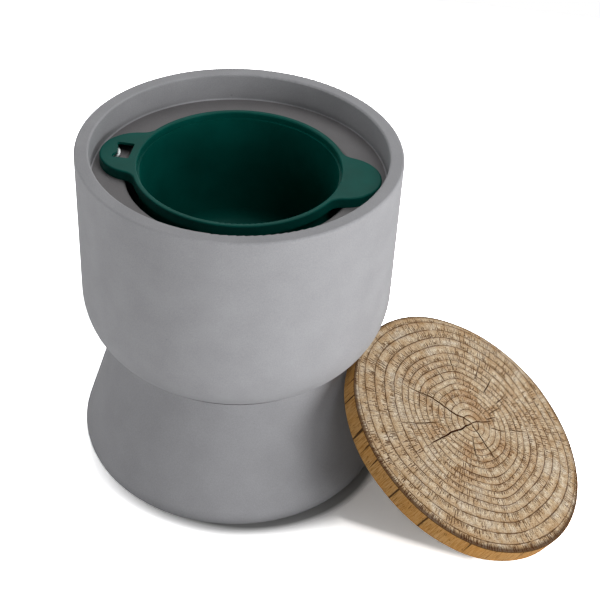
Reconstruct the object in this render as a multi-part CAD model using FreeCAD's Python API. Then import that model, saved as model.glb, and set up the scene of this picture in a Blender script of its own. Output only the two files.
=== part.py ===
import FreeCAD, Part
import math
import os

os.makedirs("parts", exist_ok=True)

# Garden side table whose top is a cooler: two thick castings joined at a narrow
# waist, a green bowl that hangs in the upper one, and a round lid leaning on it.
# Millimetres. Z = 0 is the underside of the base casting, on the table's axis,
# and the floor is pad_standing below it. The bowl's ears lie along X.

# Upper casting, the drum
rim_height = 413.0
drum_radius = 180.0
rim_width = 16.0
rim_round = 2.5
ledge_width = 38.0
ledge_thickness = 14.0
ledge_round = 4.0
drum_wall = 12.0
drum_floor = 14.0
shoulder_radius = 85.0
shoulder_turn = 55.5

# Lower casting, the flared base, and the adhesive ring between the two
waist_height = 164.0
base_radius = 185.0
base_wall = 14.0
foot_round = 24.0
mouth_radius = 138.0
bond_thickness = 2.0
bond_width = 11.5
bond_inset = 2.5

# Rubber pads let into the underside of the base
pad_count = 4
pad_radius = 9.0
pad_thickness = 5.0
pad_standing = 3.0
pad_clearance = 0.2
pad_edge_round = 0.8
pad_bearing = -69.0

# Bowl: its rim stands above the ledge and its two ears rest on the ledge
bowl_stand = 12.0
bowl_gap = 7.0
bowl_seat_gap = 0.3
bowl_floor_gap = 54.5
bowl_wall = 3.0
bowl_draft = 4.0
bowl_corner = 25.0
bowl_edge_round = 2.0
lip_width = 6.0
lip_depth = 8.0
lip_step = 2.5
foot_ring_radius = 66.0
foot_ring_width = 6.0
foot_ring_height = 4.0

# Ears of the bowl, hollow underneath
ear_wall_gap = 6.5
ear_lobe_radius = 42.5
ear_root_radius = 18.0
ear_skin = 3.0

# Hole through the opener ear, and the steel bottle opener under it
hole_margin = 3.0
hole_length = 19.5
hole_width = 31.0
hole_corner = 2.0
tongue_chord = 23.0
tongue_bulge = 3.5
opener_show = 2.5
opener_drop = 5.5
opener_thickness = 1.8
opener_width = 26.0
opener_tang = 8.5
opener_corner = 3.0
opener_hole_radius = 1.6

# Self-tapping screws that hold the opener to two bosses of the ear
screw_count = 2
screw_spacing = 17.0
screw_setback = 4.5
screw_shank_radius = 1.2
screw_head_radius = 2.8
screw_head_height = 1.8
screw_bite = 4.2
boss_radius = 3.5
pilot_clearance = 0.05
drive_width = 0.7
drive_length = 3.4
drive_depth = 0.8

# Lid, leaning on the table with its lower edge on the floor
lid_thickness = 21.5
lid_clearance = 2.0
lid_wave = 1.4
lid_lobes = 5
lid_ripples = 11
lid_ripple_share = 0.5
lid_outline_points = 48
lid_edge_round = 1.0
lid_bearing = -10.0
lean_drop = 8.0
lean_gap = 0.3

# Values that follow from those above
floor_level = -pad_standing
recess_radius = drum_radius - rim_width
ledge_level = rim_height - lid_thickness - bowl_stand
well_radius = recess_radius - ledge_width
drum_bottom = waist_height + bond_thickness
drum_floor_top = drum_bottom + drum_floor
shoulder_centre = drum_radius - shoulder_radius
shoulder_level = drum_bottom + shoulder_radius * math.sin(math.radians(shoulder_turn))
waist_radius = shoulder_centre + shoulder_radius * math.cos(math.radians(shoulder_turn))

foot_centre = base_radius - foot_round
foot_reach = math.hypot(waist_radius - foot_centre, waist_height - foot_round)
foot_bearing = math.atan2(waist_height - foot_round, waist_radius - foot_centre)
cone_lean = foot_bearing - math.acos(foot_round / foot_reach)
pad_ring_radius = (mouth_radius + foot_centre) / 2

bowl_radius = well_radius - bowl_gap
bowl_top = ledge_level + bowl_stand
bowl_skirt_bottom = ledge_level + bowl_seat_gap
bowl_bottom = drum_floor_top + bowl_floor_gap
bowl_mouth_radius = bowl_radius - lip_width
ear_reach = recess_radius - ear_wall_gap
ear_centre = ear_reach - ear_lobe_radius

hole_inner = bowl_radius + hole_margin
hole_outer = hole_inner + hole_length
opener_top = bowl_top - opener_drop
opener_under = opener_top - opener_thickness
screw_offset = hole_outer + screw_setback

lid_radius = recess_radius - lid_clearance
lean_height = waist_height - lean_drop
lid_tilt = math.asin((lean_height - floor_level) / (2 * lid_radius))

Z_AXIS = FreeCAD.Vector(0, 0, 1)
Y_AXIS = FreeCAD.Vector(0, 1, 0)
ORIGIN = FreeCAD.Vector(0, 0, 0)
EIGHTH_TURN = math.pi / 4
HAIR = 1e-4


# Drawing helpers
def outline(start, legs, lift):
    """Closed wire: a leg is an end point, or a pair (point on the arc, end point)."""
    edges = []
    here = start
    for leg in legs + [start]:
        if isinstance(leg[0], tuple):
            middle, end = leg
            edges.append(Part.Arc(lift(here), lift(middle), lift(end)).toShape())
        else:
            end = leg
            edges.append(Part.LineSegment(lift(here), lift(end)).toShape())
        here = end
    return Part.Wire(edges)


def turned(start, legs):
    """Solid turned about the table's axis from an outline of (radius, height) points."""
    wire = outline(start, legs, lambda p: FreeCAD.Vector(p[0], 0, p[1]))
    return Part.Face(wire).revolve(ORIGIN, Z_AXIS, 360)


def plate(start, legs, bottom, top):
    """Upright prism between two heights over an outline of (x, y) points."""
    wire = outline(start, legs, lambda p: FreeCAD.Vector(p[0], p[1], bottom))
    return Part.Face(wire).extrude(FreeCAD.Vector(0, 0, top - bottom))


def on_circle(centre, radius, angle):
    return (centre[0] + radius * math.cos(angle), centre[1] + radius * math.sin(angle))


def rounded(solid, radius, chosen):
    """Fillet the edges for which chosen(edge) is true."""
    return solid.makeFillet(radius, [edge for edge in solid.Edges if chosen(edge)])


def same(a, b):
    """True for two lengths less than a hair apart."""
    return abs(a - b) < HAIR


def lies_at(edge, height):
    box = edge.BoundBox
    return same(box.ZMin, height) and same(box.ZMax, height)


def upright(edge, bottom, top):
    box = edge.BoundBox
    straight = box.XLength < HAIR and box.YLength < HAIR
    return straight and same(box.ZMin, bottom) and same(box.ZMax, top)


def turn_about_axis(solid, degrees):
    copy = solid.copy()
    copy.rotate(ORIGIN, Z_AXIS, degrees)
    return copy


def cylinder(radius, bottom, top, x=0.0, y=0.0):
    return Part.makeCylinder(radius, top - bottom, FreeCAD.Vector(x, y, bottom), Z_AXIS)


# Upper casting: rim, recess for the lid, ledge for the ears, hollow well and floor
def upper_drum():
    inner_radius = drum_radius - drum_wall
    centre = (shoulder_centre, shoulder_level)
    hollow_radius = shoulder_radius - drum_wall
    full_turn = -math.radians(shoulder_turn)
    hollow_turn = -math.asin((shoulder_level - drum_floor_top) / hollow_radius)
    ledge_under = ledge_level - ledge_thickness
    rim_outer = (drum_radius - rim_round, rim_height - rim_round)
    rim_inner = (recess_radius + rim_round, rim_height - rim_round)
    edge_top = (well_radius + ledge_round, ledge_level - ledge_round)
    edge_under = (well_radius + ledge_round, ledge_under + ledge_round)
    return turned(
        (0, drum_bottom),
        [
            (waist_radius, drum_bottom),
            (on_circle(centre, shoulder_radius, full_turn / 2), (drum_radius, shoulder_level)),
            (drum_radius, rim_outer[1]),
            (on_circle(rim_outer, rim_round, EIGHTH_TURN), (rim_outer[0], rim_height)),
            (rim_inner[0], rim_height),
            (on_circle(rim_inner, rim_round, math.pi - EIGHTH_TURN), (recess_radius, rim_inner[1])),
            (recess_radius, ledge_level),
            (edge_top[0], ledge_level),
            (on_circle(edge_top, ledge_round, math.pi - EIGHTH_TURN), (well_radius, edge_top[1])),
            (well_radius, edge_under[1]),
            (on_circle(edge_under, ledge_round, math.pi + EIGHTH_TURN), (edge_under[0], ledge_under)),
            (inner_radius, ledge_under),
            (inner_radius, shoulder_level),
            (on_circle(centre, hollow_radius, hollow_turn / 2),
             on_circle(centre, hollow_radius, hollow_turn)),
            (0, drum_floor_top),
        ],
    )


# Adhesive ring, set back from the outside so that the waist shows a thin dark line
def waist_bond():
    outer = waist_radius - bond_inset
    inner = outer - bond_width
    return cylinder(outer, waist_height, drum_bottom).cut(cylinder(inner, waist_height, drum_bottom))


# Lower casting: a cone with a rounded foot, open below, with pockets for the pads
def base_hollow_radius(level):
    """Radius of the cone's inner face at a height between the foot and the waist."""
    outer = waist_radius + (waist_height - level) * math.tan(cone_lean)
    return outer - base_wall / math.cos(cone_lean)


def flared_base():
    centre = (foot_centre, foot_round)
    hollow_round = foot_round - base_wall
    half_turn = (cone_lean - math.pi / 2) / 2
    body = turned(
        (mouth_radius, 0),
        [
            (foot_centre, 0),
            (on_circle(centre, foot_round, half_turn), on_circle(centre, foot_round, cone_lean)),
            (waist_radius, waist_height),
            (base_hollow_radius(waist_height), waist_height),
            on_circle(centre, hollow_round, cone_lean),
            (on_circle(centre, hollow_round, half_turn), (foot_centre, base_wall)),
            (mouth_radius, base_wall),
        ],
    )
    pocket_depth = pad_thickness - pad_standing
    for x, y in pad_places():
        body = body.cut(cylinder(pad_radius + pad_clearance, -pad_standing, pocket_depth, x, y))
    return body


# Pads: short rubber discs glued into the pockets
def pad_places():
    bearings = [math.radians(pad_bearing + 360 * i / pad_count) for i in range(pad_count)]
    return [on_circle((0, 0), pad_ring_radius, bearing) for bearing in bearings]


def foot_pad(x, y):
    pad = cylinder(pad_radius, floor_level, floor_level + pad_thickness, x, y)
    return rounded(pad, pad_edge_round, lambda edge: lies_at(edge, floor_level))


# Bowl: one moulding with a thick lip, a drafted wall, a foot ring and two ears
def ear_block(inset, bottom, top):
    """Prism of an ear on +X, drawn in by inset, and closed inside the bowl's lip."""
    lobe = ear_lobe_radius - inset
    root = ear_root_radius + inset
    rim = bowl_radius - inset
    to_root = rim + root
    to_lobe = lobe + root
    root_x = (to_root ** 2 - to_lobe ** 2 + ear_centre ** 2) / (2 * ear_centre)
    root_y = math.sqrt(to_root ** 2 - root_x ** 2)
    rim_angle = math.atan2(root_y, root_x)
    lobe_angle = math.atan2(root_y, root_x - ear_centre)
    middle_angle = math.pi + (rim_angle + lobe_angle) / 2
    on_rim = on_circle((0, 0), rim, rim_angle)
    on_lobe = on_circle((ear_centre, 0), lobe, lobe_angle)
    on_root = on_circle((root_x, root_y), root, middle_angle)

    def mirror(point):
        return (point[0], -point[1])

    return plate(
        mirror(on_rim),
        [
            (mirror(on_root), mirror(on_lobe)),
            ((ear_centre + lobe, 0), on_lobe),
            (on_root, on_rim),
        ],
        bottom, top,
    )


def ear_pocket():
    """Space under an ear on +X, inside its skirt and outside the bowl's lip."""
    below = bowl_skirt_bottom - bowl_stand
    ceiling = bowl_top - ear_skin
    return ear_block(ear_skin, below, ceiling).cut(cylinder(bowl_radius, below, ceiling))


def bowl_outside():
    underside = bowl_bottom + foot_ring_height
    wall_top = bowl_mouth_radius - lip_step + bowl_wall
    taper = math.tan(math.radians(bowl_draft))
    wall_bottom = wall_top - (bowl_skirt_bottom - underside) * taper
    body = turned(
        (0, underside),
        [
            (wall_bottom, underside),
            (wall_top, bowl_skirt_bottom),
            (bowl_radius, bowl_skirt_bottom),
            (bowl_radius, bowl_top),
            (0, bowl_top),
        ],
    )
    return rounded(body, bowl_corner + bowl_wall, lambda edge: lies_at(edge, underside))


def bowl_inside():
    floor_top = bowl_bottom + foot_ring_height + bowl_wall
    step_level = bowl_top - lip_depth
    wall_top = bowl_mouth_radius - lip_step
    taper = math.tan(math.radians(bowl_draft))
    wall_bottom = wall_top - (step_level - floor_top) * taper
    above = bowl_top + bowl_stand
    space = turned(
        (0, floor_top),
        [
            (wall_bottom, floor_top),
            (wall_top, step_level),
            (bowl_mouth_radius, step_level),
            (bowl_mouth_radius, above),
            (0, above),
        ],
    )
    return rounded(space, bowl_corner, lambda edge: lies_at(edge, floor_top))


def opener_hole():
    """Rounded hole on +X whose outer side bulges inwards as a short tongue."""
    below = bowl_skirt_bottom
    above = bowl_top + bowl_edge_round
    half_width = hole_width / 2
    half_chord = tongue_chord / 2
    block = plate(
        (hole_inner, -half_width),
        [
            (hole_outer, -half_width),
            (hole_outer, -half_chord),
            ((hole_outer - tongue_bulge, 0), (hole_outer, half_chord)),
            (hole_outer, half_width),
            (hole_inner, half_width),
        ],
        below, above,
    )

    def corner(edge):
        return upright(edge, below, above) and same(abs(edge.BoundBox.YMin), half_width)

    return rounded(block, hole_corner, corner)


def screw_places():
    first = -screw_spacing * (screw_count - 1) / 2
    return [(screw_offset, first + screw_spacing * i) for i in range(screw_count)]


def cooler_bowl():
    ear = ear_block(0, bowl_skirt_bottom, bowl_top)
    body = bowl_outside()
    for degrees in (0, 180):
        body = body.fuse(turn_about_axis(ear, degrees))
    body = rounded(body.removeSplitter(), bowl_edge_round, lambda edge: lies_at(edge, bowl_top))
    body = body.cut(bowl_inside())

    def mouth_edge(edge):
        return lies_at(edge, bowl_top) and edge.BoundBox.XMax < bowl_mouth_radius + HAIR

    body = rounded(body, bowl_edge_round, mouth_edge)
    for degrees in (0, 180):
        body = body.cut(turn_about_axis(ear_pocket(), degrees))
    body = body.cut(turn_about_axis(opener_hole(), 180))

    boss_bottom = opener_top
    pilot_top = opener_top + screw_bite
    for x, y in screw_places():
        body = body.fuse(cylinder(boss_radius, boss_bottom, bowl_top - ear_skin / 2, -x, y))
    for x, y in screw_places():
        pilot_radius = screw_shank_radius + pilot_clearance
        body = body.cut(cylinder(pilot_radius, boss_bottom, pilot_top, -x, y))

    ring_top = bowl_bottom + foot_ring_height + bowl_wall / 2
    ring = cylinder(foot_ring_radius, bowl_bottom, ring_top)
    ring = ring.cut(cylinder(foot_ring_radius - foot_ring_width, bowl_bottom, ring_top))
    return body.fuse(ring).removeSplitter()


# Bottle opener: a flat steel plate whose edge shows past the tongue of the hole
def bottle_opener():
    front = hole_outer - opener_show
    back = hole_outer + opener_tang
    half_width = opener_width / 2
    half_chord = tongue_chord / 2
    blade = plate(
        (front, -half_width),
        [
            (back, -half_width),
            (back, half_width),
            (front, half_width),
            (front, half_chord),
            ((front - tongue_bulge, 0), (front, -half_chord)),
        ],
        opener_under, opener_top,
    )

    def corner(edge):
        return upright(edge, opener_under, opener_top) and same(edge.BoundBox.XMax, back)

    blade = rounded(blade, opener_corner, corner)
    for x, y in screw_places():
        blade = blade.cut(cylinder(opener_hole_radius, opener_under, opener_top, x, y))
    return turn_about_axis(blade, 180)


# Screw: domed head with a cross drive, driven up through the opener
def opener_screw(x, y):
    head_bottom = opener_under - screw_head_height
    head = cylinder(screw_head_radius, head_bottom, opener_under, x, y)
    head = rounded(head, screw_head_height / 2, lambda edge: lies_at(edge, head_bottom))
    screw = head.fuse(cylinder(screw_shank_radius, opener_under, opener_top + screw_bite, x, y))
    for size in ((drive_length, drive_width), (drive_width, drive_length)):
        corner = FreeCAD.Vector(x - size[0] / 2, y - size[1] / 2, head_bottom)
        screw = screw.cut(Part.makeBox(size[0], size[1], drive_depth, corner))
    return turn_about_axis(screw.removeSplitter(), 180)


# Lid: a thick disc a little out of round, tilted back against the table
def lid_reach(angle):
    """Radius of the outline, full at the two points where the lid touches."""
    swell = math.cos(lid_lobes * angle) + lid_ripple_share * math.cos(lid_ripples * angle)
    hollow = (1 - swell / (1 + lid_ripple_share)) / 2
    return lid_radius - lid_wave * math.sin(angle) ** 2 * hollow


def lid_place():
    """Distance from the axis and height of the middle of the lid's lower face."""
    sine = math.sin(lid_tilt)
    cosine = math.cos(lid_tilt)
    arm = lid_radius - lid_edge_round
    height = floor_level + lid_edge_round + arm * sine - lid_edge_round * cosine

    lower_edge = height + arm * sine + lid_edge_round * cosine
    cone = waist_radius + (waist_height - lower_edge) * math.tan(cone_lean)
    reach = lid_edge_round + lean_gap
    off_base = cone + reach / math.cos(cone_lean) + arm * cosine - lid_edge_round * sine

    upper_step = lid_thickness - lid_edge_round
    upper_edge = height + arm * sine + upper_step * cosine
    fall = shoulder_level - upper_edge
    off_shoulder = shoulder_centre + math.sqrt((shoulder_radius + reach) ** 2 - fall ** 2)
    off_drum = off_shoulder + arm * cosine - upper_step * sine
    return max(off_base, off_drum), height


def lid():
    points = []
    for i in range(lid_outline_points):
        angle = 2 * math.pi * i / lid_outline_points
        x, y = on_circle((0, 0), lid_reach(angle), angle)
        points.append(FreeCAD.Vector(x, y, 0))
    curve = Part.BSplineCurve()
    curve.interpolate(Points=points, PeriodicFlag=True)
    face = Part.Face(Part.Wire([curve.toShape()]))
    disc = face.extrude(FreeCAD.Vector(0, 0, lid_thickness))
    disc = rounded(disc, lid_edge_round, lambda edge: lies_at(edge, 0) or lies_at(edge, lid_thickness))
    distance, height = lid_place()
    disc.rotate(ORIGIN, Y_AXIS, math.degrees(lid_tilt))
    disc.translate(FreeCAD.Vector(distance, 0, height))
    return turn_about_axis(disc, lid_bearing)


# Every piece in its own file
pieces = {
    "upper_drum": upper_drum(),
    "waist_bond": waist_bond(),
    "flared_base": flared_base(),
    "cooler_bowl": cooler_bowl(),
    "bottle_opener": bottle_opener(),
    "lid": lid(),
}
for number, place in enumerate(pad_places(), start=1):
    pieces["foot_pad_" + str(number)] = foot_pad(*place)
for number, place in enumerate(screw_places(), start=1):
    pieces["opener_screw_" + str(number)] = opener_screw(*place)

for name, shape in pieces.items():
    if len(shape.Solids) != 1 or not shape.isValid():
        raise ValueError(name + " is not one valid solid")
    shape.Solids[0].exportStep("parts/" + name + ".step")
    box = shape.BoundBox
    print(name, round(shape.Volume / 1000, 1), "cm3, z", round(box.ZMin, 2), "to", round(box.ZMax, 2))
print("lid tilt", round(math.degrees(lid_tilt), 2), "middle", [round(v, 2) for v in lid_place()])
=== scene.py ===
import math
import random

import bmesh
import bpy
from mathutils import Matrix, Vector, noise


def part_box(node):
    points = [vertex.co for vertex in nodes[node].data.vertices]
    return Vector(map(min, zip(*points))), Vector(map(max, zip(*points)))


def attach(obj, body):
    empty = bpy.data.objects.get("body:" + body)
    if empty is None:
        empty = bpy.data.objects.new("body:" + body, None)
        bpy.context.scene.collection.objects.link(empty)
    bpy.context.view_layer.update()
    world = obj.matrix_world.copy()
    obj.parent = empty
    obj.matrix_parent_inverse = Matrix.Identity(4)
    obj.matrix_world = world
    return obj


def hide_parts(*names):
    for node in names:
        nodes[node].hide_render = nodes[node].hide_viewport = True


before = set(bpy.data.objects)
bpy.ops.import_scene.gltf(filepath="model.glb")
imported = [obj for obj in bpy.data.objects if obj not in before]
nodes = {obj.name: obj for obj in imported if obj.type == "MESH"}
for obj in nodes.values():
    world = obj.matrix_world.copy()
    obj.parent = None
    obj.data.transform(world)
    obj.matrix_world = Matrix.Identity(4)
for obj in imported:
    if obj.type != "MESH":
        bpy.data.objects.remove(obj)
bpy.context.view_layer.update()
scene = bpy.context.scene
scene.view_settings.view_transform = "Standard"


# Camera
# It stands above and in front of the table, where the photograph was taken from,
# and sees the rim as an ellipse with the leaning lid at the lower right.
camera_bearing = math.radians(10)
camera_distance = 1.26203
camera_height = 1.19307
camera_yaw = 0.0595
camera_pitch = 0.6641
camera_roll = 0.0598
sensor_width = 36
lens = 81.0

stand = (
    Matrix.Rotation(camera_bearing, 4, "Z")
    @ Matrix.Translation((0, -camera_distance, camera_height))
)
aim = (
    Matrix.Rotation(-camera_yaw, 4, "Z")
    @ Matrix.Rotation(math.pi / 2 - camera_pitch, 4, "X")
    @ Matrix.Rotation(camera_roll, 4, "Z")
)
camera_data = bpy.data.cameras.new("camera")
camera_data.sensor_width = sensor_width
camera_data.lens = lens
camera = bpy.data.objects.new("camera", camera_data)
camera.matrix_world = stand @ aim
scene.collection.objects.link(camera)
scene.camera = camera


# Studio
# White paper under large round soft boxes. The strongest stands low on the right,
# so the castings turn from pale on the right to mid grey on the left.
floor_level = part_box("foot_pad_1")[0].z
floor_half = 1.3
# How white the floor is seen at the foot and away from it: the dimmer white at the foot is a painted
# contact shadow.
painted_foot_shadow_white = 0.3
floor_white_far = 3.9
near_reach = 0.165
far_reach = 0.196
reach_centre = (0.02, -0.005, 0)
# How white it is seen under the leaning lid, behind a line from the foot to the lid's low edge: a
# painted shadow.
painted_lid_shadow_white = 1.5
lid_reach = 0.16
lid_reach_centre = (0.22, -0.03, 0)
lid_front = (0.2116, 0.9774, 0)
lid_front_line = -0.093
reach_blur = 0.01
# The share of light that it throws back at the foot and away from it: the low share at the foot is
# painted shade, which darkens the foot's underside.
painted_foot_shade_return = 0.1
return_far = 0.8
return_near_reach = 0.19
return_far_reach = 0.27
surround_strength = 0.03
lamp_size = 1.2
lamp_distance = 1.9
lamp_target = Vector((0.05, 0, 0.2))
# Each lamp's bearing and height in degrees, and its power in watts.
lamps = [
    ("right", -22, 8, 33),
    ("right above", -10, 62, 12),
    ("front", -110, 8, 14),
    ("left", 170, 8, 8.5),
    ("back", 80, 8, 5.5),
    ("back above", 110, 62, 9.5),
]


def shade(hex_text):
    """An sRGB hex colour as the linear colour that a shader takes."""
    channels = [int(hex_text[i:i + 2], 16) / 255 for i in (1, 3, 5)]
    linear = [c / 12.92 if c <= 0.04045 else ((c + 0.055) / 1.055) ** 2.4 for c in channels]
    return (*linear, 1.0)


def socket(sockets, name):
    """One of a node's inputs or outputs, by its place or its name."""
    if isinstance(name, int):
        return sockets[name]
    return next(s for s in sockets if name in (s.identifier, s.name))


def add(tree, kind, inputs=(), output=0, stops=(), **settings):
    """Adds a node with its settings and links, and gives one of its outputs.

    Inputs are values or outputs of other nodes, named or in the node's own order.
    Stops are the places and colours of a colour ramp.
    """
    made = tree.nodes.new("ShaderNode" + kind)
    for name, value in settings.items():
        setattr(made, name, value)
    for name, value in (inputs.items() if isinstance(inputs, dict) else enumerate(inputs)):
        if isinstance(value, bpy.types.NodeSocket):
            tree.links.new(value, socket(made.inputs, name))
        else:
            socket(made.inputs, name).default_value = value
    for _ in stops[2:]:
        made.color_ramp.elements.new(1)
    for number, (place, colour) in enumerate(stops):
        made.color_ramp.elements[number].position = place
        made.color_ramp.elements[number].color = shade(colour)
    return socket(made.outputs, output) if made.outputs else None


def new_material(name):
    """A material with an empty node tree."""
    material = bpy.data.materials.new(name)
    material.use_nodes = True
    material.node_tree.nodes.clear()
    return material, material.node_tree


def link(thing):
    """Puts an object in the scene and gives it back."""
    scene.collection.objects.link(thing)
    return thing


# The surround is white where it is seen and in reflections, and lights the object only a little.
world = bpy.data.worlds.new("surround")
world.use_nodes = True
sky = world.node_tree
sky.nodes.clear()
ray_kinds = add(sky, "LightPath").node.outputs
shown = ray_kinds["Is Camera Ray"]
for kind in ("Is Glossy Ray", "Is Transmission Ray"):
    shown = add(sky, "Math", (shown, ray_kinds[kind]), operation="MAXIMUM")
lit = add(sky, "Background", {"Color": shade("#ffffff"), "Strength": surround_strength})
seen = add(sky, "Background", {"Color": shade("#ffffff"), "Strength": 1.0})
add(sky, "OutputWorld", (add(sky, "MixShader", (shown, lit, seen)),))
scene.world = world

floor_form = bmesh.new()
bmesh.ops.create_grid(floor_form, size=floor_half, matrix=Matrix.Translation((0, 0, floor_level)))
floor_data = bpy.data.meshes.new("floor")
floor_form.to_mesh(floor_data)
floor_form.free()
floor = link(bpy.data.objects.new("floor", floor_data))
# Paper: it is seen as white away from the object. Near the foot and between the base and the lid it is
# seen darker, a painted shadow, and where the object stands close over it a painted shade makes it
# throw little light back.
floor_paper, tree = new_material("paper with painted shadows")
place = add(tree, "TexCoord", output="Object")
# Painted contact shadow: near the foot the floor is seen dimmer than its light alone makes it.
away = add(tree, "VectorMath", (place, reach_centre), "Value", operation="DISTANCE")
white = add(tree, "MapRange", (away, near_reach, far_reach, painted_foot_shadow_white, floor_white_far))
# Painted shadow under the lid: a round patch, cut off in front by the line from the foot to the lid's
# low edge, is seen dimmer.
off_lid = add(tree, "VectorMath", (place, lid_reach_centre), "Value", operation="DISTANCE")
painted_lid_shadow = (off_lid, lid_reach, lid_reach + reach_blur, painted_lid_shadow_white, floor_white_far)
painted_lid_shadow = add(tree, "MapRange", painted_lid_shadow)
behind = add(tree, "VectorMath", (place, lid_front), "Value", operation="DOT_PRODUCT")
in_front = (behind, lid_front_line, lid_front_line - reach_blur, painted_lid_shadow_white, floor_white_far)
painted_lid_shadow = add(tree, "Math", (painted_lid_shadow, add(tree, "MapRange", in_front)), operation="MAXIMUM")
white = add(tree, "Math", (white, painted_lid_shadow), operation="MINIMUM")
seen = add(tree, "BsdfDiffuse", {"Color": add(tree, "CombineXYZ", (white, white, white))})
# Painted shade: near the foot the floor throws less light back, which darkens the foot's underside.
back = add(tree, "MapRange", (away, return_near_reach, return_far_reach, painted_foot_shade_return, return_far))
lit = add(tree, "BsdfDiffuse", {"Color": add(tree, "CombineXYZ", (back, back, back))})
shown = add(tree, "LightPath", output="Is Camera Ray")
add(tree, "OutputMaterial", (add(tree, "MixShader", (shown, lit, seen)),))
floor_data.materials.append(floor_paper)

for name, bearing, height, power in lamps:
    lamp = bpy.data.lights.new(name, "AREA")
    lamp.shape = "DISK"
    lamp.size = lamp_size
    lamp.energy = power
    around = math.radians(bearing)
    up = math.radians(height)
    way = Vector((math.cos(around) * math.cos(up), math.sin(around) * math.cos(up), math.sin(up)))
    soft_box = link(bpy.data.objects.new(name, lamp))
    facing = way.to_track_quat("Z", "Y").to_matrix().to_4x4()
    soft_box.matrix_world = Matrix.Translation(lamp_target + way * lamp_distance) @ facing


# Castings
# The drum and the base are fibre cement, laid up in a mould, rubbed down and painted a
# matt grey. Inside the drum the ledge and the well are drawn a darker grey: painted shade in the
# recess.
paint_colour = "#97979a"
# The base is drawn a shade darker than the drum: painted shade for the dimmer light low down.
base_paint_with_painted_shade = "#8c8c8f"
# The recess's darker grey is painted shade.
painted_recess_shade_colour = "#716f70"
cloud_width = 0.035
cloud_strength = 0.05
grain_width = 0.0012
grain_strength = 0.07
grain_relief = 0.0002
pinhole_spacing = 0.04
pinhole_width = 0.003
pinhole_strength = 0.2
recess_radius = 0.164
ledge_level = 0.3795
# The pale line along the ledge's corner is a painted highlight.
line_width = 0.001
corner_highlight_strength = 0.5


def fibre_cement(name, colour):
    """Matt paint on rubbed down fibre cement: it clouds a little, a few pinholes show, the recess is
    drawn darker as painted shade, and the ledge's corner carries a painted highlight.
    """
    material, tree = new_material(name)
    place = add(tree, "TexCoord", output="Object")
    clouds = add(tree, "TexNoise", {"Vector": place, "Scale": 1 / cloud_width, "Detail": 5})
    grain = add(tree, "TexNoise", {"Vector": place, "Scale": 1 / grain_width, "Detail": 2})
    near = add(tree, "TexVoronoi", {"Vector": place, "Scale": 1 / pinhole_spacing})
    chance = add(tree, "SeparateColor", (socket(near.node.outputs, "Color"),))
    hole_reach = add(tree, "MapRange", (chance, 0.6, 1, 0, pinhole_width / pinhole_spacing / 2))
    hole_depth = add(tree, "Math", (hole_reach, near), operation="SUBTRACT")
    holes = add(tree, "MapRange", (hole_depth, -0.01, 0.02))

    # The painted shade lies within the recess, on faces that look up or towards the axis.
    x = add(tree, "SeparateXYZ", (place,), output="X")
    y = socket(x.node.outputs, "Y")
    radius = add(tree, "VectorMath", (add(tree, "CombineXYZ", (x, y, 0)),), "Value", operation="LENGTH")
    outwards = add(tree, "CombineXYZ", (x, y, add(tree, "Math", (radius, -1), operation="MULTIPLY")))
    faced = add(tree, "VectorMath", (add(tree, "TexCoord", output="Normal"), outwards), "Value",
                operation="DOT_PRODUCT")
    inwards = add(tree, "MapRange", (faced, -0.03, -0.05))
    wall = recess_radius - line_width / 2
    within = add(tree, "MapRange", (radius, wall, wall - line_width))
    painted_recess_shade = add(tree, "Math", (inwards, within), operation="MULTIPLY")
    # A painted highlight: a pale line along the ledge's corner, where a rounded edge would catch the
    # light.
    corner = add(tree, "CombineXYZ", (radius, socket(x.node.outputs, "Z"), 0))
    off_corner = add(tree, "VectorMath", (corner, (recess_radius, ledge_level, 0)), "Value",
                     operation="DISTANCE")
    run = add(tree, "MapRange", (off_corner, 2 * line_width, line_width, 1, 1 + corner_highlight_strength))

    paint_and_recess_shade = {"Factor_Float": painted_recess_shade, "A_Color": shade(colour), "B_Color": shade(painted_recess_shade_colour)}
    tone = add(tree, "Mix", paint_and_recess_shade, "Result_Color", data_type="RGBA")
    level = add(tree, "MapRange", (clouds, 0.3, 0.7, 1 - cloud_strength, 1 + cloud_strength))
    sandy = add(tree, "MapRange", (grain, 0.3, 0.7, 1 - grain_strength, 1 + grain_strength))
    pitted = add(tree, "MapRange", (holes, 0, 1, 1, 1 - pinhole_strength))
    for part in (sandy, pitted, run):
        level = add(tree, "Math", (level, part), operation="MULTIPLY")
    tone = add(tree, "VectorMath", {"Vector": tone, "Scale": level}, operation="SCALE")
    height = add(tree, "Math", (grain, holes), operation="SUBTRACT")
    bump = add(tree, "Bump", {"Height": height, "Strength": 0.35, "Distance": grain_relief})
    body = add(tree, "BsdfPrincipled", {"Base Color": tone, "Normal": bump, "Roughness": 0.65,
                                        "Specular IOR Level": 0.3})
    add(tree, "OutputMaterial", (body,))
    return material


nodes["upper_drum"].material_slots[0].material = fibre_cement("painted fibre cement", paint_colour)
nodes["flared_base"].material_slots[0].material = fibre_cement("painted cement base with painted shade", base_paint_with_painted_shade)


# Bond
# A bead of dark construction adhesive joins the two castings at the waist.
# It is smeared level with the joint and shows as a thin line.
bead_width = 0.004
bead_relief = 0.0004

# Cured polyurethane adhesive: matt and lumpy where it was wiped.
adhesive, tree = new_material("cured adhesive")
place = add(tree, "TexCoord", output="Object")
lumps = add(tree, "TexNoise", {"Vector": place, "Scale": 1 / bead_width, "Detail": 3})
bump = add(tree, "Bump", {"Height": lumps, "Strength": 0.5, "Distance": bead_relief})
tone = add(tree, "ValToRGB", (lumps,), stops=[(0.3, "#2c2c2c"), (0.7, "#3a3a3a")])
body = add(tree, "BsdfPrincipled", {"Base Color": tone, "Roughness": 0.8, "Normal": bump})
add(tree, "OutputMaterial", (body,))
nodes["waist_bond"].material_slots[0].material = adhesive


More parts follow.
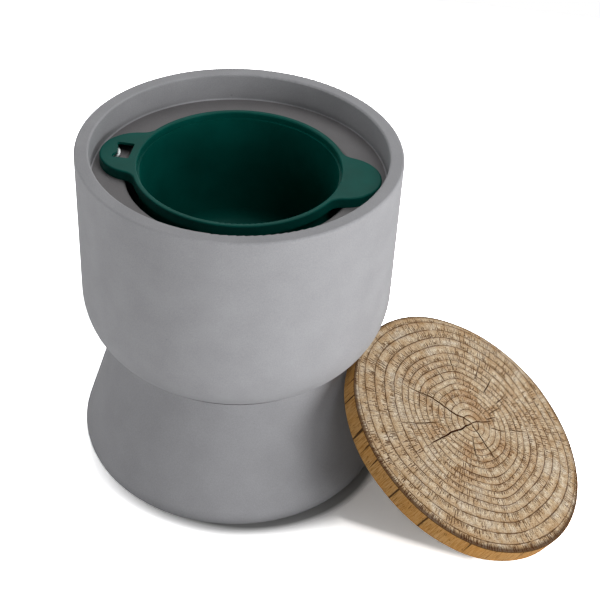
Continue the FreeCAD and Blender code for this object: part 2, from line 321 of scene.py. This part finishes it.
# Foot pads
# Four black rubber discs, moulded, stand in sockets under the base and keep it
# off the floor.
spark_width = 0.0008
spark_relief = 0.0001

# Moulded rubber: black, with the sparked texture of its mould, drawn coarser than it is.
rubber, tree = new_material("moulded rubber")
place = add(tree, "TexCoord", output="Object")
sparks = add(tree, "TexNoise", {"Vector": place, "Scale": 1 / spark_width, "Detail": 2})
bump = add(tree, "Bump", {"Height": sparks, "Strength": 0.4, "Distance": spark_relief})
tone = add(tree, "ValToRGB", (sparks,), stops=[(0.3, "#161617"), (0.7, "#1c1c1d")])
body = add(tree, "BsdfPrincipled", {"Base Color": tone, "Roughness": 0.75, "Normal": bump})
add(tree, "OutputMaterial", (body,))
for name in ("foot_pad_1", "foot_pad_2", "foot_pad_3", "foot_pad_4"):
    nodes[name].material_slots[0].material = rubber


# Cooler bowl
# One injection moulding with its two ears, which rest on the drum's ledge and
# let it hang in the well.
moulded_grain = 0.0007
moulded_relief = 0.0001
flow_width = 0.05

# Polypropylene: a dark green with a satin sheen. Its tool was spark eroded, and the grain
# is drawn coarser than it is, to show.
moulding, tree = new_material("polypropylene moulding")
place = add(tree, "TexCoord", output="Object")
grain = add(tree, "TexNoise", {"Vector": place, "Scale": 1 / moulded_grain, "Detail": 2})
flow = add(tree, "TexNoise", {"Vector": place, "Scale": 1 / flow_width, "Detail": 3})
tone = add(tree, "ValToRGB", (flow,), stops=[(0.3, "#02473f"), (0.7, "#03554c")])
gloss = add(tree, "MapRange", (flow, 0, 1, 0.34, 0.42))
bump = add(tree, "Bump", {"Height": grain, "Strength": 0.3, "Distance": moulded_relief})
body = add(tree, "BsdfPrincipled", {"Base Color": tone, "Roughness": gloss, "Normal": bump,
                                    "Specular IOR Level": 0.07})
add(tree, "OutputMaterial", (body,))
nodes["cooler_bowl"].material_slots[0].material = moulding


# Opener and its screws
# The opener is a stamped plate that lies under the ear's hole, and two small
# screws hold it up against the ear's bosses.
brush_width = 0.0003
brush_length = 0.02
brush_relief = 0.00005

# Stainless steel: brushed along the plate, so its highlights spread across the strokes,
# which are drawn coarser than they are.
stainless, tree = new_material("brushed stainless steel")
place = add(tree, "TexCoord", output="Object")
strokes = (1 / brush_length, 1 / brush_width, 1 / brush_width)
drawn = add(tree, "Mapping", {"Vector": place, "Scale": strokes})
lines = add(tree, "TexNoise", {"Vector": drawn, "Scale": 1, "Detail": 2})
tone = add(tree, "ValToRGB", (lines,), stops=[(0.3, "#c2c6c6"), (0.7, "#d5d8d8")])
gloss = add(tree, "MapRange", (lines, 0, 1, 0.25, 0.42))
bump = add(tree, "Bump", {"Height": lines, "Strength": 0.2, "Distance": brush_relief})
body = add(tree, "BsdfPrincipled", {"Base Color": tone, "Metallic": 1.0, "Roughness": gloss,
                                    "Normal": bump})
add(tree, "OutputMaterial", (body,))
for name in ("bottle_opener", "opener_screw_1", "opener_screw_2"):
    nodes[name].material_slots[0].material = stainless


# Lid
# A slice across a trunk, planed and oiled. The growth rings stand as fine dark
# grooves round an off-centre pith, and drying has split it along its rays.
lid_thickness = 0.0215
lid_radius = 0.162
lid_wave = 0.0014
lid_lobes = 5
lid_ripples = 11
ripple_share = 0.5
lid_tilt = math.radians(29.39)
lid_bearing = math.radians(-10)
lid_distance = 0.28674
lid_height = 0.07614
edge_round = 0.0008
edge_half_way = 0.3
edge_nicks = 0.0003
nick_width = 0.006
pith = Vector((0, 0.010))
pith_radius = 0.001
pith_share = 0.01
ring_widths = [11, 8.5, 8.5, 9, 8, 8.5, 8, 10.5, 8.5, 8.5, 9, 10.5, 11.5, 12, 13, 13]
groove_width = 0.0011
groove_depth = 0.00025
growth_side = math.radians(195)
growth_lean = 0.035
growth_wander = 0.09
wander_round = 1.5
wander_reach = 0.06
even_core = 0.05
even_bark = 0.7
ring_crowding = 0.07
spokes = 480

lid_place = (
    Matrix.Rotation(lid_bearing, 4, "Z")
    @ Matrix.Translation((lid_distance, 0, lid_height))
    @ Matrix.Rotation(lid_tilt, 4, "Y")
)


def lid_edge(around):
    """The lid's outline at this angle from its lowest point, as cut."""
    waves = math.cos(lid_lobes * around) + ripple_share * math.cos(lid_ripples * around)
    dent = lid_wave * math.sin(around) ** 2 * (1 - waves / (1 + ripple_share)) / 2
    return (lid_radius - dent) * Vector((math.cos(around), math.sin(around)))


def ring_share(spoke, reach):
    """How far out a ring lies, as a share of its spoke: rings wander, and crowd at the edge."""
    around = math.tau * spoke / spokes
    where = Vector((
        wander_round * math.cos(around), wander_round * math.sin(around), reach / wander_reach,
    ))
    swell = growth_lean * math.cos(around - growth_side) + growth_wander * noise.noise(where)
    settled = min(1, reach / even_core) * (1 - even_bark * (reach / lid_radius) ** 3)
    share = reach * (1 + swell * settled) / (lid_edge(around) - pith).length
    over = max(0, share - 1 + ring_crowding)
    return share - over + ring_crowding * (1 - math.exp(-over / ring_crowding))


lid_form = bmesh.new()
growth = lid_form.verts.layers.float.new("growth")
spoke_mark = lid_form.verts.layers.int.new("spoke")
bmesh.ops.create_circle(lid_form, cap_ends=True, cap_tris=True, segments=spokes, radius=pith_radius)
for vertex in lid_form.verts:
    vertex[spoke_mark] = round(math.atan2(vertex.co.y, vertex.co.x) / math.tau * spokes) % spokes
    vertex.co += Vector((*pith, lid_thickness))
open_edge = [e for e in lid_form.edges if e.is_boundary]


def grow(edges, share_of, inset, level, count):
    """Draws the open edge to a new loop and marks it with its place among the rings.

    The loop lies at a share of each spoke, from the pith to the lid's edge less the inset.
    """
    drawn = bmesh.ops.extrude_edge_only(lid_form, edges=edges)["geom"]
    for vertex in (g for g in drawn if isinstance(g, bmesh.types.BMVert)):
        around = math.tau * vertex[spoke_mark] / spokes
        end = lid_edge(around)
        nick = edge_nicks * abs(noise.noise(Vector((*end, level)) / nick_width))
        end -= end.normalized() * (inset + nick if inset else 0)
        flat = pith + (end - pith) * share_of(vertex[spoke_mark])
        vertex.co = Vector((*flat, level))
        vertex[growth] = count
    return [g for g in drawn if isinstance(g, bmesh.types.BMEdge)]


rings = [sum(ring_widths[:count + 1]) / 1000 for count in range(len(ring_widths))]
bark = len(rings) + 0.5
edge_mark = bark + 0.2
side_mark = bark + 0.5
for count, reach in enumerate(rings, start=1):
    for side, drop in ((-0.5, 0), (0, groove_depth), (0.5, 0)):
        offset = side * groove_width
        open_edge = grow(open_edge, lambda spoke: ring_share(spoke, reach + offset), 0,
                         lid_thickness - drop, count + offset * 1000 / ring_widths[count - 1])
half_way = edge_round * edge_half_way
for inset, level, count in (
    (edge_round, lid_thickness, bark), (half_way, lid_thickness - half_way, edge_mark),
    (0, lid_thickness - edge_round, side_mark), (0, edge_round, side_mark),
    (half_way, half_way, edge_mark), (edge_round, 0, bark),
):
    open_edge = grow(open_edge, lambda spoke: 1, inset, level, count)
for count, reach in reversed(list(enumerate(rings, start=1))):
    open_edge = grow(open_edge, lambda spoke: ring_share(spoke, reach), 0, 0, count)
open_edge = grow(open_edge, lambda spoke: pith_share, 0, 0, 0)
bmesh.ops.holes_fill(lid_form, edges=open_edge)
bmesh.ops.recalc_face_normals(lid_form, faces=lid_form.faces)
for face in lid_form.faces:
    face.material_index = int(max(v[growth] for v in face.verts) > bark)
lid_data = bpy.data.meshes.new("lid_slice")
lid_form.to_mesh(lid_data)
lid_form.free()

# Drying checks in the face: the widest gap in mm, then bends as mm from the pith and degrees round it.
face_checks = [
    (2.3, [(2, 160), (12, 176), (22, 190), (40, 186), (60, 184), (75, 188), (104, 189)]),
    (2.3, [(2, 252), (10, 240), (18, 243), (40, 240), (65, 241), (94, 242)]),
    (1.8, [(3, 310), (15, 331), (35, 328), (64, 329.5)]),
    (1.4, [(2, 72), (9, 60), (17, 48), (35, 48)]),
    (1.3, [(29, 54), (46, 53)]),
    (1.4, [(20, 292), (40, 294), (56, 297)]),
    (1.5, [(60, 88), (95, 86.5)]),
    (1.3, [(30, 29), (54, 29)]),
    (1.2, [(38, 62.5), (67, 63)]),
    (1.2, [(63, 146), (84, 147)]),
    (1.2, [(27, 158), (52, 158)]),
    (1.2, [(55, 220), (82, 222), (110, 221)]),
    (1.2, [(76, 126), (102, 127)]),
    (1.2, [(62, 69), (84, 69.5)]),
    (1.1, [(58, 33), (90, 34)]),
    (1.1, [(74, 101), (98, 100)]),
]
# Checks in the side: degrees from the lowest point, how far they run down, and the widest gap, in mm.
side_checks = [
    (198, 5, 0.2), (206, 20, 0.45), (222, 20, 0.3), (229, 4, 0.2), (236, 7, 0.2), (250, 16, 0.4),
    (266, 8, 0.2), (287, 6, 0.2), (314, 5, 0.2), (338, 9, 0.2), (20, 7, 0.2), (48, 13, 0.4),
    (90, 6, 0.2), (104, 14, 0.4), (139, 8, 0.2), (166, 12, 0.3),
]
check_slope = 1.6
check_start = 0.25
check_least = 0.15
check_lift = 0.0005
check_step = 0.005
side_check_step = 3
check_shake = 0.0005
shake = random.Random(7)


def split(form, path, into, widest):
    """Draws a thin V along a path on the surface: a cutter that narrows to its end.

    It goes into the wood by the slope times its gap, and stands a little proud of the surface.
    """
    face = None
    for number, spot in enumerate(path):
        way = path[min(number + 1, len(path) - 1)] - path[max(number - 1, 0)]
        along = check_start + (1 - check_start) * number / (len(path) - 1)
        depth = widest * check_slope * max(check_least, math.sin(math.pi * along))
        across = way.cross(into).normalized() * (depth + check_lift) / check_slope / 2
        mouth = spot - into * check_lift
        corners = (mouth - across, mouth + across, spot + into * depth)
        if face is None:
            face = form.faces.new([form.verts.new(corner) for corner in corners])
            continue
        drawn = bmesh.ops.extrude_face_region(form, geom=[face])["geom"]
        if number > 1:
            form.faces.remove(face)
        face = next(g for g in drawn if isinstance(g, bmesh.types.BMFace))
        for vertex, corner in zip(face.verts, corners):
            vertex.co = corner


cutter_form = bmesh.new()
pith_top = Vector((*pith, lid_thickness))
for widest, bends in face_checks:
    turns = [
        pith_top + Matrix.Rotation(math.radians(angle), 3, "Z").col[0] * reach / 1000
        for reach, angle in bends
    ]
    path = turns[:1]
    for start, end in zip(turns, turns[1:]):
        steps = max(1, round((end - start).length / check_step))
        for step in range(1, steps + 1):
            aside = Vector((shake.uniform(-1, 1), shake.uniform(-1, 1), 0)) * check_shake
            path.append(start.lerp(end, step / steps) + aside)
    split(cutter_form, path, Vector((0, 0, -1)), widest / 1000)
for angle, run, widest in side_checks:
    edge = lid_edge(math.radians(angle))
    sideways = Vector((-edge.y, edge.x, 0)).normalized()
    top = lid_thickness + check_lift * 2
    drop = run / 1000 + check_lift * 2
    steps = round(run / side_check_step)
    path = []
    for step in range(steps + 1):
        spot = Vector((*edge, top - drop * step / steps))
        path.append(spot + sideways * shake.uniform(-1, 1) * check_shake)
    split(cutter_form, path, Vector((*-edge, 0)).normalized(), widest / 1000)
bmesh.ops.recalc_face_normals(cutter_form, faces=cutter_form.faces)
for face in cutter_form.faces:
    face.material_index = 2
cutter_data = bpy.data.meshes.new("checks")
cutter_form.to_mesh(cutter_data)
cutter_form.free()

band_width = 0.0098
stroke_play = 0.2
stroke_blur = 0.2
stroke_end_blur = 0.05


def slice_places(tree):
    """Where a point lies on the slice as it was cut, and its place among the rings."""
    laid_flat = {
        "Vector": add(tree, "TexCoord", output="Object"),
        "Location": lid_place.to_translation(),
        "Rotation": lid_place.to_euler("XYZ"),
    }
    ring = add(tree, "Attribute", output="Fac", attribute_name="growth")
    return add(tree, "Mapping", laid_flat, vector_type="TEXTURE"), ring


def ray_flecks(tree, turn, ring, spacing, width, missing, latest, shortest, longest):
    """Dark strokes along the rays, evenly spaced round a ring.

    Spacing and width are in metres. Missing is the share left out, latest is how far past the ring's
    line a stroke may start, and the last two are how long it may be, as shares of the ring's width.
    """
    band = add(tree, "Math", (ring,), operation="FLOOR")
    early = add(tree, "Math", (ring,), operation="FRACT")
    per_turn = band_width / spacing
    girth = add(tree, "Math", (band, per_turn, per_turn / 2), operation="MULTIPLY_ADD")
    lane = add(tree, "Math", (turn, girth), operation="MULTIPLY")
    lane_number = add(tree, "Math", (lane,), operation="FLOOR")
    key = add(tree, "CombineXYZ", (lane_number, band, spacing * 1000))
    chance = add(tree, "TexWhiteNoise", (key,), "Color", noise_dimensions="3D")
    red = add(tree, "SeparateColor", (chance,))
    green = socket(red.node.outputs, "Green")
    blue = socket(red.node.outputs, "Blue")
    middle = add(tree, "MapRange", (red, 0, 1, 0.5 - stroke_play, 0.5 + stroke_play))
    aside = add(tree, "Math", (lane,), operation="FRACT")
    aside = add(tree, "Math", (aside, middle), operation="SUBTRACT")
    aside = add(tree, "Math", (aside,), operation="ABSOLUTE")
    share = width / spacing
    stroke = (aside, share * (0.5 + stroke_blur), share * (0.5 - stroke_blur))
    stroke = add(tree, "MapRange", stroke)
    start = add(tree, "MapRange", (blue, 0, 1, 0, latest))
    length = add(tree, "MapRange", (green, missing, 1, shortest, longest))
    end = add(tree, "Math", (start, length), operation="ADD")
    begun = add(tree, "Math", (early, start), operation="SUBTRACT")
    begun = add(tree, "MapRange", (begun, 0, stroke_end_blur))
    unended = add(tree, "Math", (end, early), operation="SUBTRACT")
    unended = add(tree, "MapRange", (unended, 0, stroke_end_blur))
    present = add(tree, "Math", (green, missing), operation="GREATER_THAN")
    run = add(tree, "Math", (begun, unended), operation="MULTIPLY")
    drawn = add(tree, "Math", (stroke, present), operation="MULTIPLY")
    return add(tree, "Math", (run, drawn), operation="MULTIPLY")


# Oiled end grain: sawn across and planed, so its early wood is pale, its late wood and
# ring lines are brown, and the rays show as short dark flecks. The widths are real, but for
# the pores and the rays, which are drawn as coarse as they need to show.
tremble_width = 0.004
line_tremble = 0.10
press_width = 0.012
thin_line = 0.05
thick_line = 0.09
blotch_width = 0.008
stain_width = 0.026
pore_width = 0.0012
pore_relief = 0.0005
patch_width = 0.025
dots_round = 80
dots_across = 6
heartwood_reach = 0.11
heartwood_core = 0.05
end_grain, tree = new_material("oiled end grain")
flat, ring = slice_places(tree)
from_pith = add(tree, "VectorMath", (flat, (*pith, 0)), operation="SUBTRACT")
x = add(tree, "SeparateXYZ", (from_pith,), output="X")
y = socket(x.node.outputs, "Y")
turn = add(tree, "Math", (y, x), operation="ARCTAN2")
radius = add(tree, "VectorMath", (add(tree, "CombineXYZ", (x, y, 0)),), "Value", operation="LENGTH")
early = add(tree, "Math", (ring,), operation="FRACT")

tremble = add(tree, "TexNoise", {"Vector": flat, "Scale": 1 / tremble_width, "Detail": 2})
line_place = add(tree, "Math", (tremble, line_tremble, ring), operation="MULTIPLY_ADD")
line_place = add(tree, "Math", (line_place, 0.5 - line_tremble / 2), operation="ADD")
off_line = add(tree, "Math", (line_place,), operation="FRACT")
off_line = add(tree, "Math", (off_line, 0.5), operation="SUBTRACT")
off_line = add(tree, "Math", (off_line,), operation="ABSOLUTE")
press = add(tree, "TexNoise", {"Vector": flat, "Scale": 1 / press_width, "Detail": 3})
line_half = add(tree, "MapRange", (press, 0.35, 0.65, thin_line, thick_line))
line = add(tree, "Math", (off_line, line_half), operation="DIVIDE")
line = add(tree, "MapRange", (line, 1, 0.5))
faint = add(tree, "MapRange", (press, 0.35, 0.5, 0.7, 1))
line = add(tree, "Math", (line, faint), operation="MULTIPLY")
worn = add(tree, "MapRange", (ring, bark - 8, bark - 2, 1, 0.85))
line = add(tree, "Math", (line, worn), operation="MULTIPLY")

blotches = add(tree, "TexNoise", {"Vector": flat, "Scale": 1 / blotch_width, "Detail": 6,
                                  "Roughness": 0.7})
stains = add(tree, "TexNoise", {"Vector": flat, "Scale": 1 / stain_width, "Detail": 7,
                                "Roughness": 0.65, "Distortion": 0.6})
fibres = add(tree, "TexNoise", {"Vector": flat, "Scale": 1 / pore_width, "Detail": 2,
                                "Roughness": 0.7})
core = add(tree, "MapRange", (radius, heartwood_reach, heartwood_core))
core_stain = add(tree, "MapRange", (stains, 0.50, 0.58))
darker_core = add(tree, "MapRange", (core, 0, 1, 0.35, 0.9))
core_stain = add(tree, "Math", (core_stain, darker_core), operation="MULTIPLY")
bleach = add(tree, "MapRange", (stains, 0.50, 0.36))
paler_outside = add(tree, "MapRange", (core, 0, 1, 1, 0.25))
bleach = add(tree, "Math", (bleach, paler_outside), operation="MULTIPLY")
late = add(tree, "MapRange", (early, 0.5, 1))
pores = add(tree, "MapRange", (fibres, 0.56, 0.63))
dust = add(tree, "MapRange", (fibres, 0.42, 0.32))
patchy = add(tree, "TexNoise", {"Vector": flat, "Scale": 1 / patch_width, "Detail": 3})
busy = add(tree, "MapRange", (patchy, 0.42, 0.54, 0.5, 1))
quiet_pith = add(tree, "MapRange", (radius, 0.012, 0.04, 0.3, 1))
busy = add(tree, "Math", (busy, quiet_pith), operation="MULTIPLY")
coarse = ray_flecks(tree, turn, ring, 0.0034, 0.0010, 0.50, 0.3, 0.30, 0.95)
fine = ray_flecks(tree, turn, ring, 0.0019, 0.0010, 0.20, 0.08, 0.15, 0.50)
specks = ray_flecks(tree, turn, ring, 0.0023, 0.0013, 0.50, 0.9, 0.06, 0.16)
along_ring = add(tree, "Math", (turn, dots_round), operation="MULTIPLY")
across_ring = add(tree, "Math", (ring, dots_across), operation="MULTIPLY")
dots = add(tree, "CombineXYZ", (along_ring, across_ring, 0))
dots = add(tree, "TexNoise", {"Vector": dots, "Scale": 1, "Detail": 2, "Roughness": 0.7})
dots = add(tree, "MapRange", (dots, 0.53, 0.62))
sapwood = add(tree, "MapRange", (ring, bark - 3.5, bark - 0.5, 0.2, 1))
uneven = add(tree, "MapRange", (stains, 0.38, 0.56))
sapwood = add(tree, "Math", (sapwood, uneven), operation="MULTIPLY")
# Darker along the face's outer edge.
dark_face_edge = add(tree, "MapRange", (ring, bark - 0.35, bark - 0.15))

tone = add(tree, "ValToRGB", (blotches,),
           stops=[(0.36, "#a99171"), (0.5, "#c5b193"), (0.64, "#d8c9af")])
for amount, strength, colour in (
    (bleach, 0.45, "#cdc6b8"), (sapwood, 0.4, "#a07f50"), (core_stain, 0.55, "#966a3e"),
    (late, 0.5, "#8d6a45"), (dust, 0.4, "#e0d6c2"), (dots, 0.4, "#795835"), (pores, 0.8, "#654223"),
    (fine, 0.9, "#46260f"), (coarse, 0.95, "#3f200b"), (specks, 0.95, "#391c09"),
    (line, 1.0, "#40220c"), (dark_face_edge, 0.85, "#3a1f0c"),
):
    if amount in (fine, coarse, specks):
        amount = add(tree, "Math", (amount, busy), operation="MULTIPLY")
    cover = add(tree, "Math", (amount, strength), operation="MULTIPLY")
    tone = add(tree, "Mix", {"Factor_Float": cover, "A_Color": tone, "B_Color": shade(colour)},
               "Result_Color", data_type="RGBA")

sunk = add(tree, "Math", (coarse, -0.6, fibres), operation="MULTIPLY_ADD")
sunk = add(tree, "Math", (line, -0.4, sunk), operation="MULTIPLY_ADD")
bump = add(tree, "Bump", {"Height": sunk, "Strength": 0.6, "Distance": pore_relief})
body = add(tree, "BsdfPrincipled", {"Base Color": tone, "Roughness": 0.7, "Specular IOR Level": 0.04,
                                    "Normal": bump})
add(tree, "OutputMaterial", (body,))

# Oiled long grain: the peeled side under the bark, darker, with streaks that run
# through the slice, and darker still where it meets the faces.
streak_width = 0.0009
streak_length = 0.015
streak_relief = 0.0004
tick_width = 0.0013
tick_length = 0.006
broad_width = 0.03
long_grain, tree = new_material("oiled long grain")
flat, ring = slice_places(tree)
streak_scale = (1 / streak_width, 1 / streak_width, 1 / streak_length)
streak_place = add(tree, "Mapping", {"Vector": flat, "Scale": streak_scale})
streaks = add(tree, "TexNoise", {"Vector": streak_place, "Scale": 1, "Detail": 3, "Roughness": 0.6})
tick_scale = (1 / tick_width, 1 / tick_width, 1 / tick_length)
tick_place = add(tree, "Mapping", {"Vector": flat, "Scale": tick_scale})
ticks = add(tree, "TexNoise", {"Vector": tick_place, "Scale": 1, "Detail": 1})
ticks = add(tree, "MapRange", (ticks, 0.65, 0.70))
broad = add(tree, "TexNoise", {"Vector": flat, "Scale": 1 / broad_width, "Detail": 3})
broad = add(tree, "MapRange", (broad, 0.35, 0.65))
dark_side_edge = add(tree, "MapRange", (ring, side_mark - 0.03, side_mark - 0.2))
tone = add(tree, "ValToRGB", (streaks,),
           stops=[(0.34, "#7c552a"), (0.46, "#a37a46"), (0.66, "#ba925f")])
for amount, strength, colour in (
    (broad, 0.5, "#ad7a3a"), (ticks, 0.7, "#4a2e15"), (dark_side_edge, 0.9, "#33210f"),
):
    cover = add(tree, "Math", (amount, strength), operation="MULTIPLY")
    tone = add(tree, "Mix", {"Factor_Float": cover, "A_Color": tone, "B_Color": shade(colour)},
               "Result_Color", data_type="RGBA")
bump = add(tree, "Bump", {"Height": streaks, "Strength": 0.6, "Distance": streak_relief})
body = add(tree, "BsdfPrincipled", {"Base Color": tone, "Roughness": 0.6, "Specular IOR Level": 0.06,
                                    "Normal": bump})
add(tree, "OutputMaterial", (body,))

# Torn wood: the insides of the checks, rough, and drawn dark brown as painted shade in the cracks.
tear_width = 0.001
check_walls_painted_shade, tree = new_material("check walls in painted shade")
place = add(tree, "TexCoord", output="Object")
torn = add(tree, "TexNoise", {"Vector": place, "Scale": 1 / tear_width, "Detail": 2})
tone = add(tree, "ValToRGB", (torn,), stops=[(0.3, "#331a0b"), (0.7, "#512e17")])
body = add(tree, "BsdfPrincipled", {"Base Color": tone, "Roughness": 0.85, "Specular IOR Level": 0.04})
add(tree, "OutputMaterial", (body,))

for material in (end_grain, long_grain, check_walls_painted_shade):
    lid_data.materials.append(material)
    cutter_data.materials.append(material)
lid_slice = link(bpy.data.objects.new("lid_slice", lid_data))
cutter = link(bpy.data.objects.new("checks", cutter_data))
cut = lid_slice.modifiers.new("checks", "BOOLEAN")
cut.object = cutter
cut.operation = "DIFFERENCE"
cut.solver = "EXACT"
shapes = bpy.context.evaluated_depsgraph_get()
shapes.update()
carved = lid_slice.evaluated_get(shapes)
carved = bpy.data.meshes.new_from_object(carved, preserve_all_data_layers=True, depsgraph=shapes)
lid_slice.modifiers.clear()
bpy.data.objects.remove(cutter)
carved.transform(lid_place)
lid_slice.data = carved
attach(lid_slice, "lid")
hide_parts("lid")
